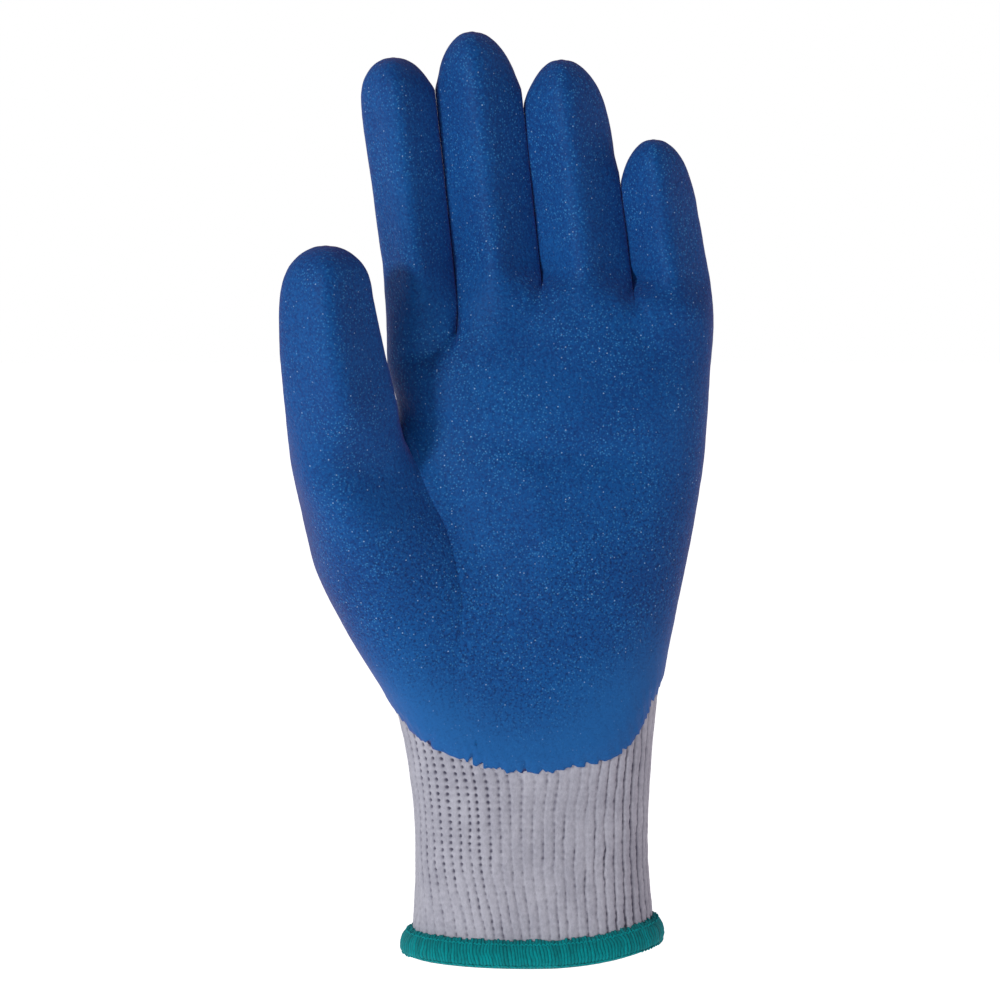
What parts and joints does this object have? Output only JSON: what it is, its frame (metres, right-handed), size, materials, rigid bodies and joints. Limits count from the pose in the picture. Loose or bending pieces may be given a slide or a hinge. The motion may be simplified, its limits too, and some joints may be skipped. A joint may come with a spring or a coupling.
{
  "type": "latex coated grip glove",
  "caption": "Left-hand seamless knit work glove: open ribbed cuff with an overlocked hem, hollow fingers, and a latex coat over palm, finger fronts, sides and tips.",
  "frame": {"origin": "middle of the cuff's mouth, where the wrist goes in", "axes": "+Z from the cuff's mouth to the fingertips, -Y out of the palm, -X towards the thumb's side"},
  "size_m": [0.1174, 0.0569, 0.2534],
  "materials": {
    "knit": "plain knitted grey-lilac cotton and polyester yarn",
    "latex": "crinkled matt blue natural latex",
    "hem_thread": "overlocked green polyester thread"
  },
  "bodies": {
    "root": {"knit_liner": "knit", "latex_coat": "latex", "cuff_hem": "hem_thread"}
  },
  "joints": []
}
